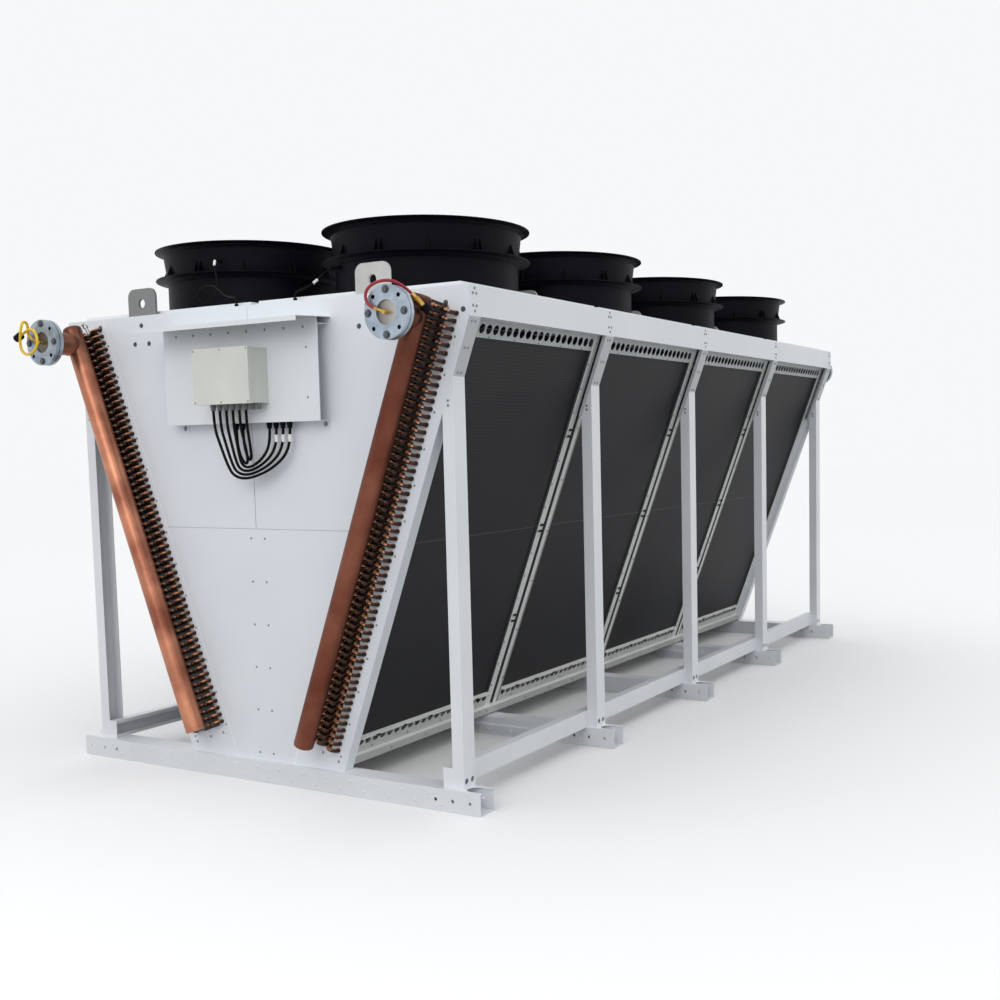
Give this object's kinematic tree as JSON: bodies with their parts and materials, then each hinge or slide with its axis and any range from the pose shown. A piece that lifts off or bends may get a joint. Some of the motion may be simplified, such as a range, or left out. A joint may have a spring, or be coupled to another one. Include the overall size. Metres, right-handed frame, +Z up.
{
  "type": "remote radiator",
  "caption": "Long V-bank remote radiator: two leaning finned coils under a deck of black fan ducts, with copper headers, flanges and a control box, on a folded steel base frame.",
  "frame": {"origin": "on the floor, under the middle of the unit", "axes": "+X across the unit, +Y along it away from the piped front end, +Z up"},
  "size_m": [2.49, 5.7358, 2.608],
  "materials": {
    "casing_paint": "semi-gloss off-white powder coat",
    "zinc": "zinc plated steel",
    "galvanised": "plain grey-white coated sheet",
    "frame_paint": "semi-gloss off-white powder coat",
    "cable_black": "black cable sheath",
    "gland_grey": "grey nylon",
    "black_plastic": "black moulded plastic",
    "fins": "black coated fins",
    "grey_plastic": "light grey moulded box",
    "black_metal": "black coated motor shell",
    "brass": "turned brass",
    "copper": "bare copper tube, tarnished",
    "bare_steel": "bare plate, matt",
    "hose_yellow": "yellow hose",
    "hose_red": "red hose"
  },
  "bodies": {
    "root": {"arms": "casing_paint", "back_flanges": "zinc", "baffles": "galvanised", "base_rails": "frame_paint", "box_cable_1": "cable_black", "box_cable_2": "cable_black", "box_cable_3": "cable_black", "box_cable_4": "cable_black", "box_cable_5": "cable_black", "box_cable_6": "cable_black", "box_glands": "gland_grey", "cable_bosses": "black_plastic", "coils": "fins", "control_box": "grey_plastic", "control_plate": "casing_paint", "crossbeams": "frame_paint", "deck_plates": "casing_paint", "end_plates_front": "casing_paint", "end_plates_rear": "casing_paint", "fan_blades": "black_plastic", "fan_cable_left": "cable_black", "fan_cable_right": "cable_black", "fan_duct_left_1": "black_plastic", "fan_duct_left_2": "black_plastic", "fan_duct_left_3": "black_plastic", "fan_duct_left_4": "black_plastic", "fan_duct_right_1": "black_plastic", "fan_duct_right_2": "black_plastic", "fan_duct_right_3": "black_plastic", "fan_duct_right_4": "black_plastic", "fan_guards": "black_plastic", "fan_motors": "black_metal", "fan_plates": "casing_paint", "fan_rotors": "black_plastic", "flange_plugs": "brass", "floor_sheet": "casing_paint", "foot_strips": "galvanised", "frame_strips": "galvanised", "front_flanges": "zinc", "headers": "copper", "lifting_lugs": "bare_steel", "lower_panel_front": "casing_paint", "lower_panel_rear": "casing_paint", "plate_glands": "black_plastic", "posts": "frame_paint", "rain_hood": "casing_paint", "return_bends_front": "copper", "return_bends_rear": "copper", "side_bands": "casing_paint", "sills": "galvanised", "top_strips": "galvanised", "upper_panels_front": "casing_paint", "upper_panels_rear": "casing_paint", "vent_caps": "black_plastic", "vent_hose_left": "hose_yellow", "vent_hose_right": "hose_red"}
  },
  "joints": []
}
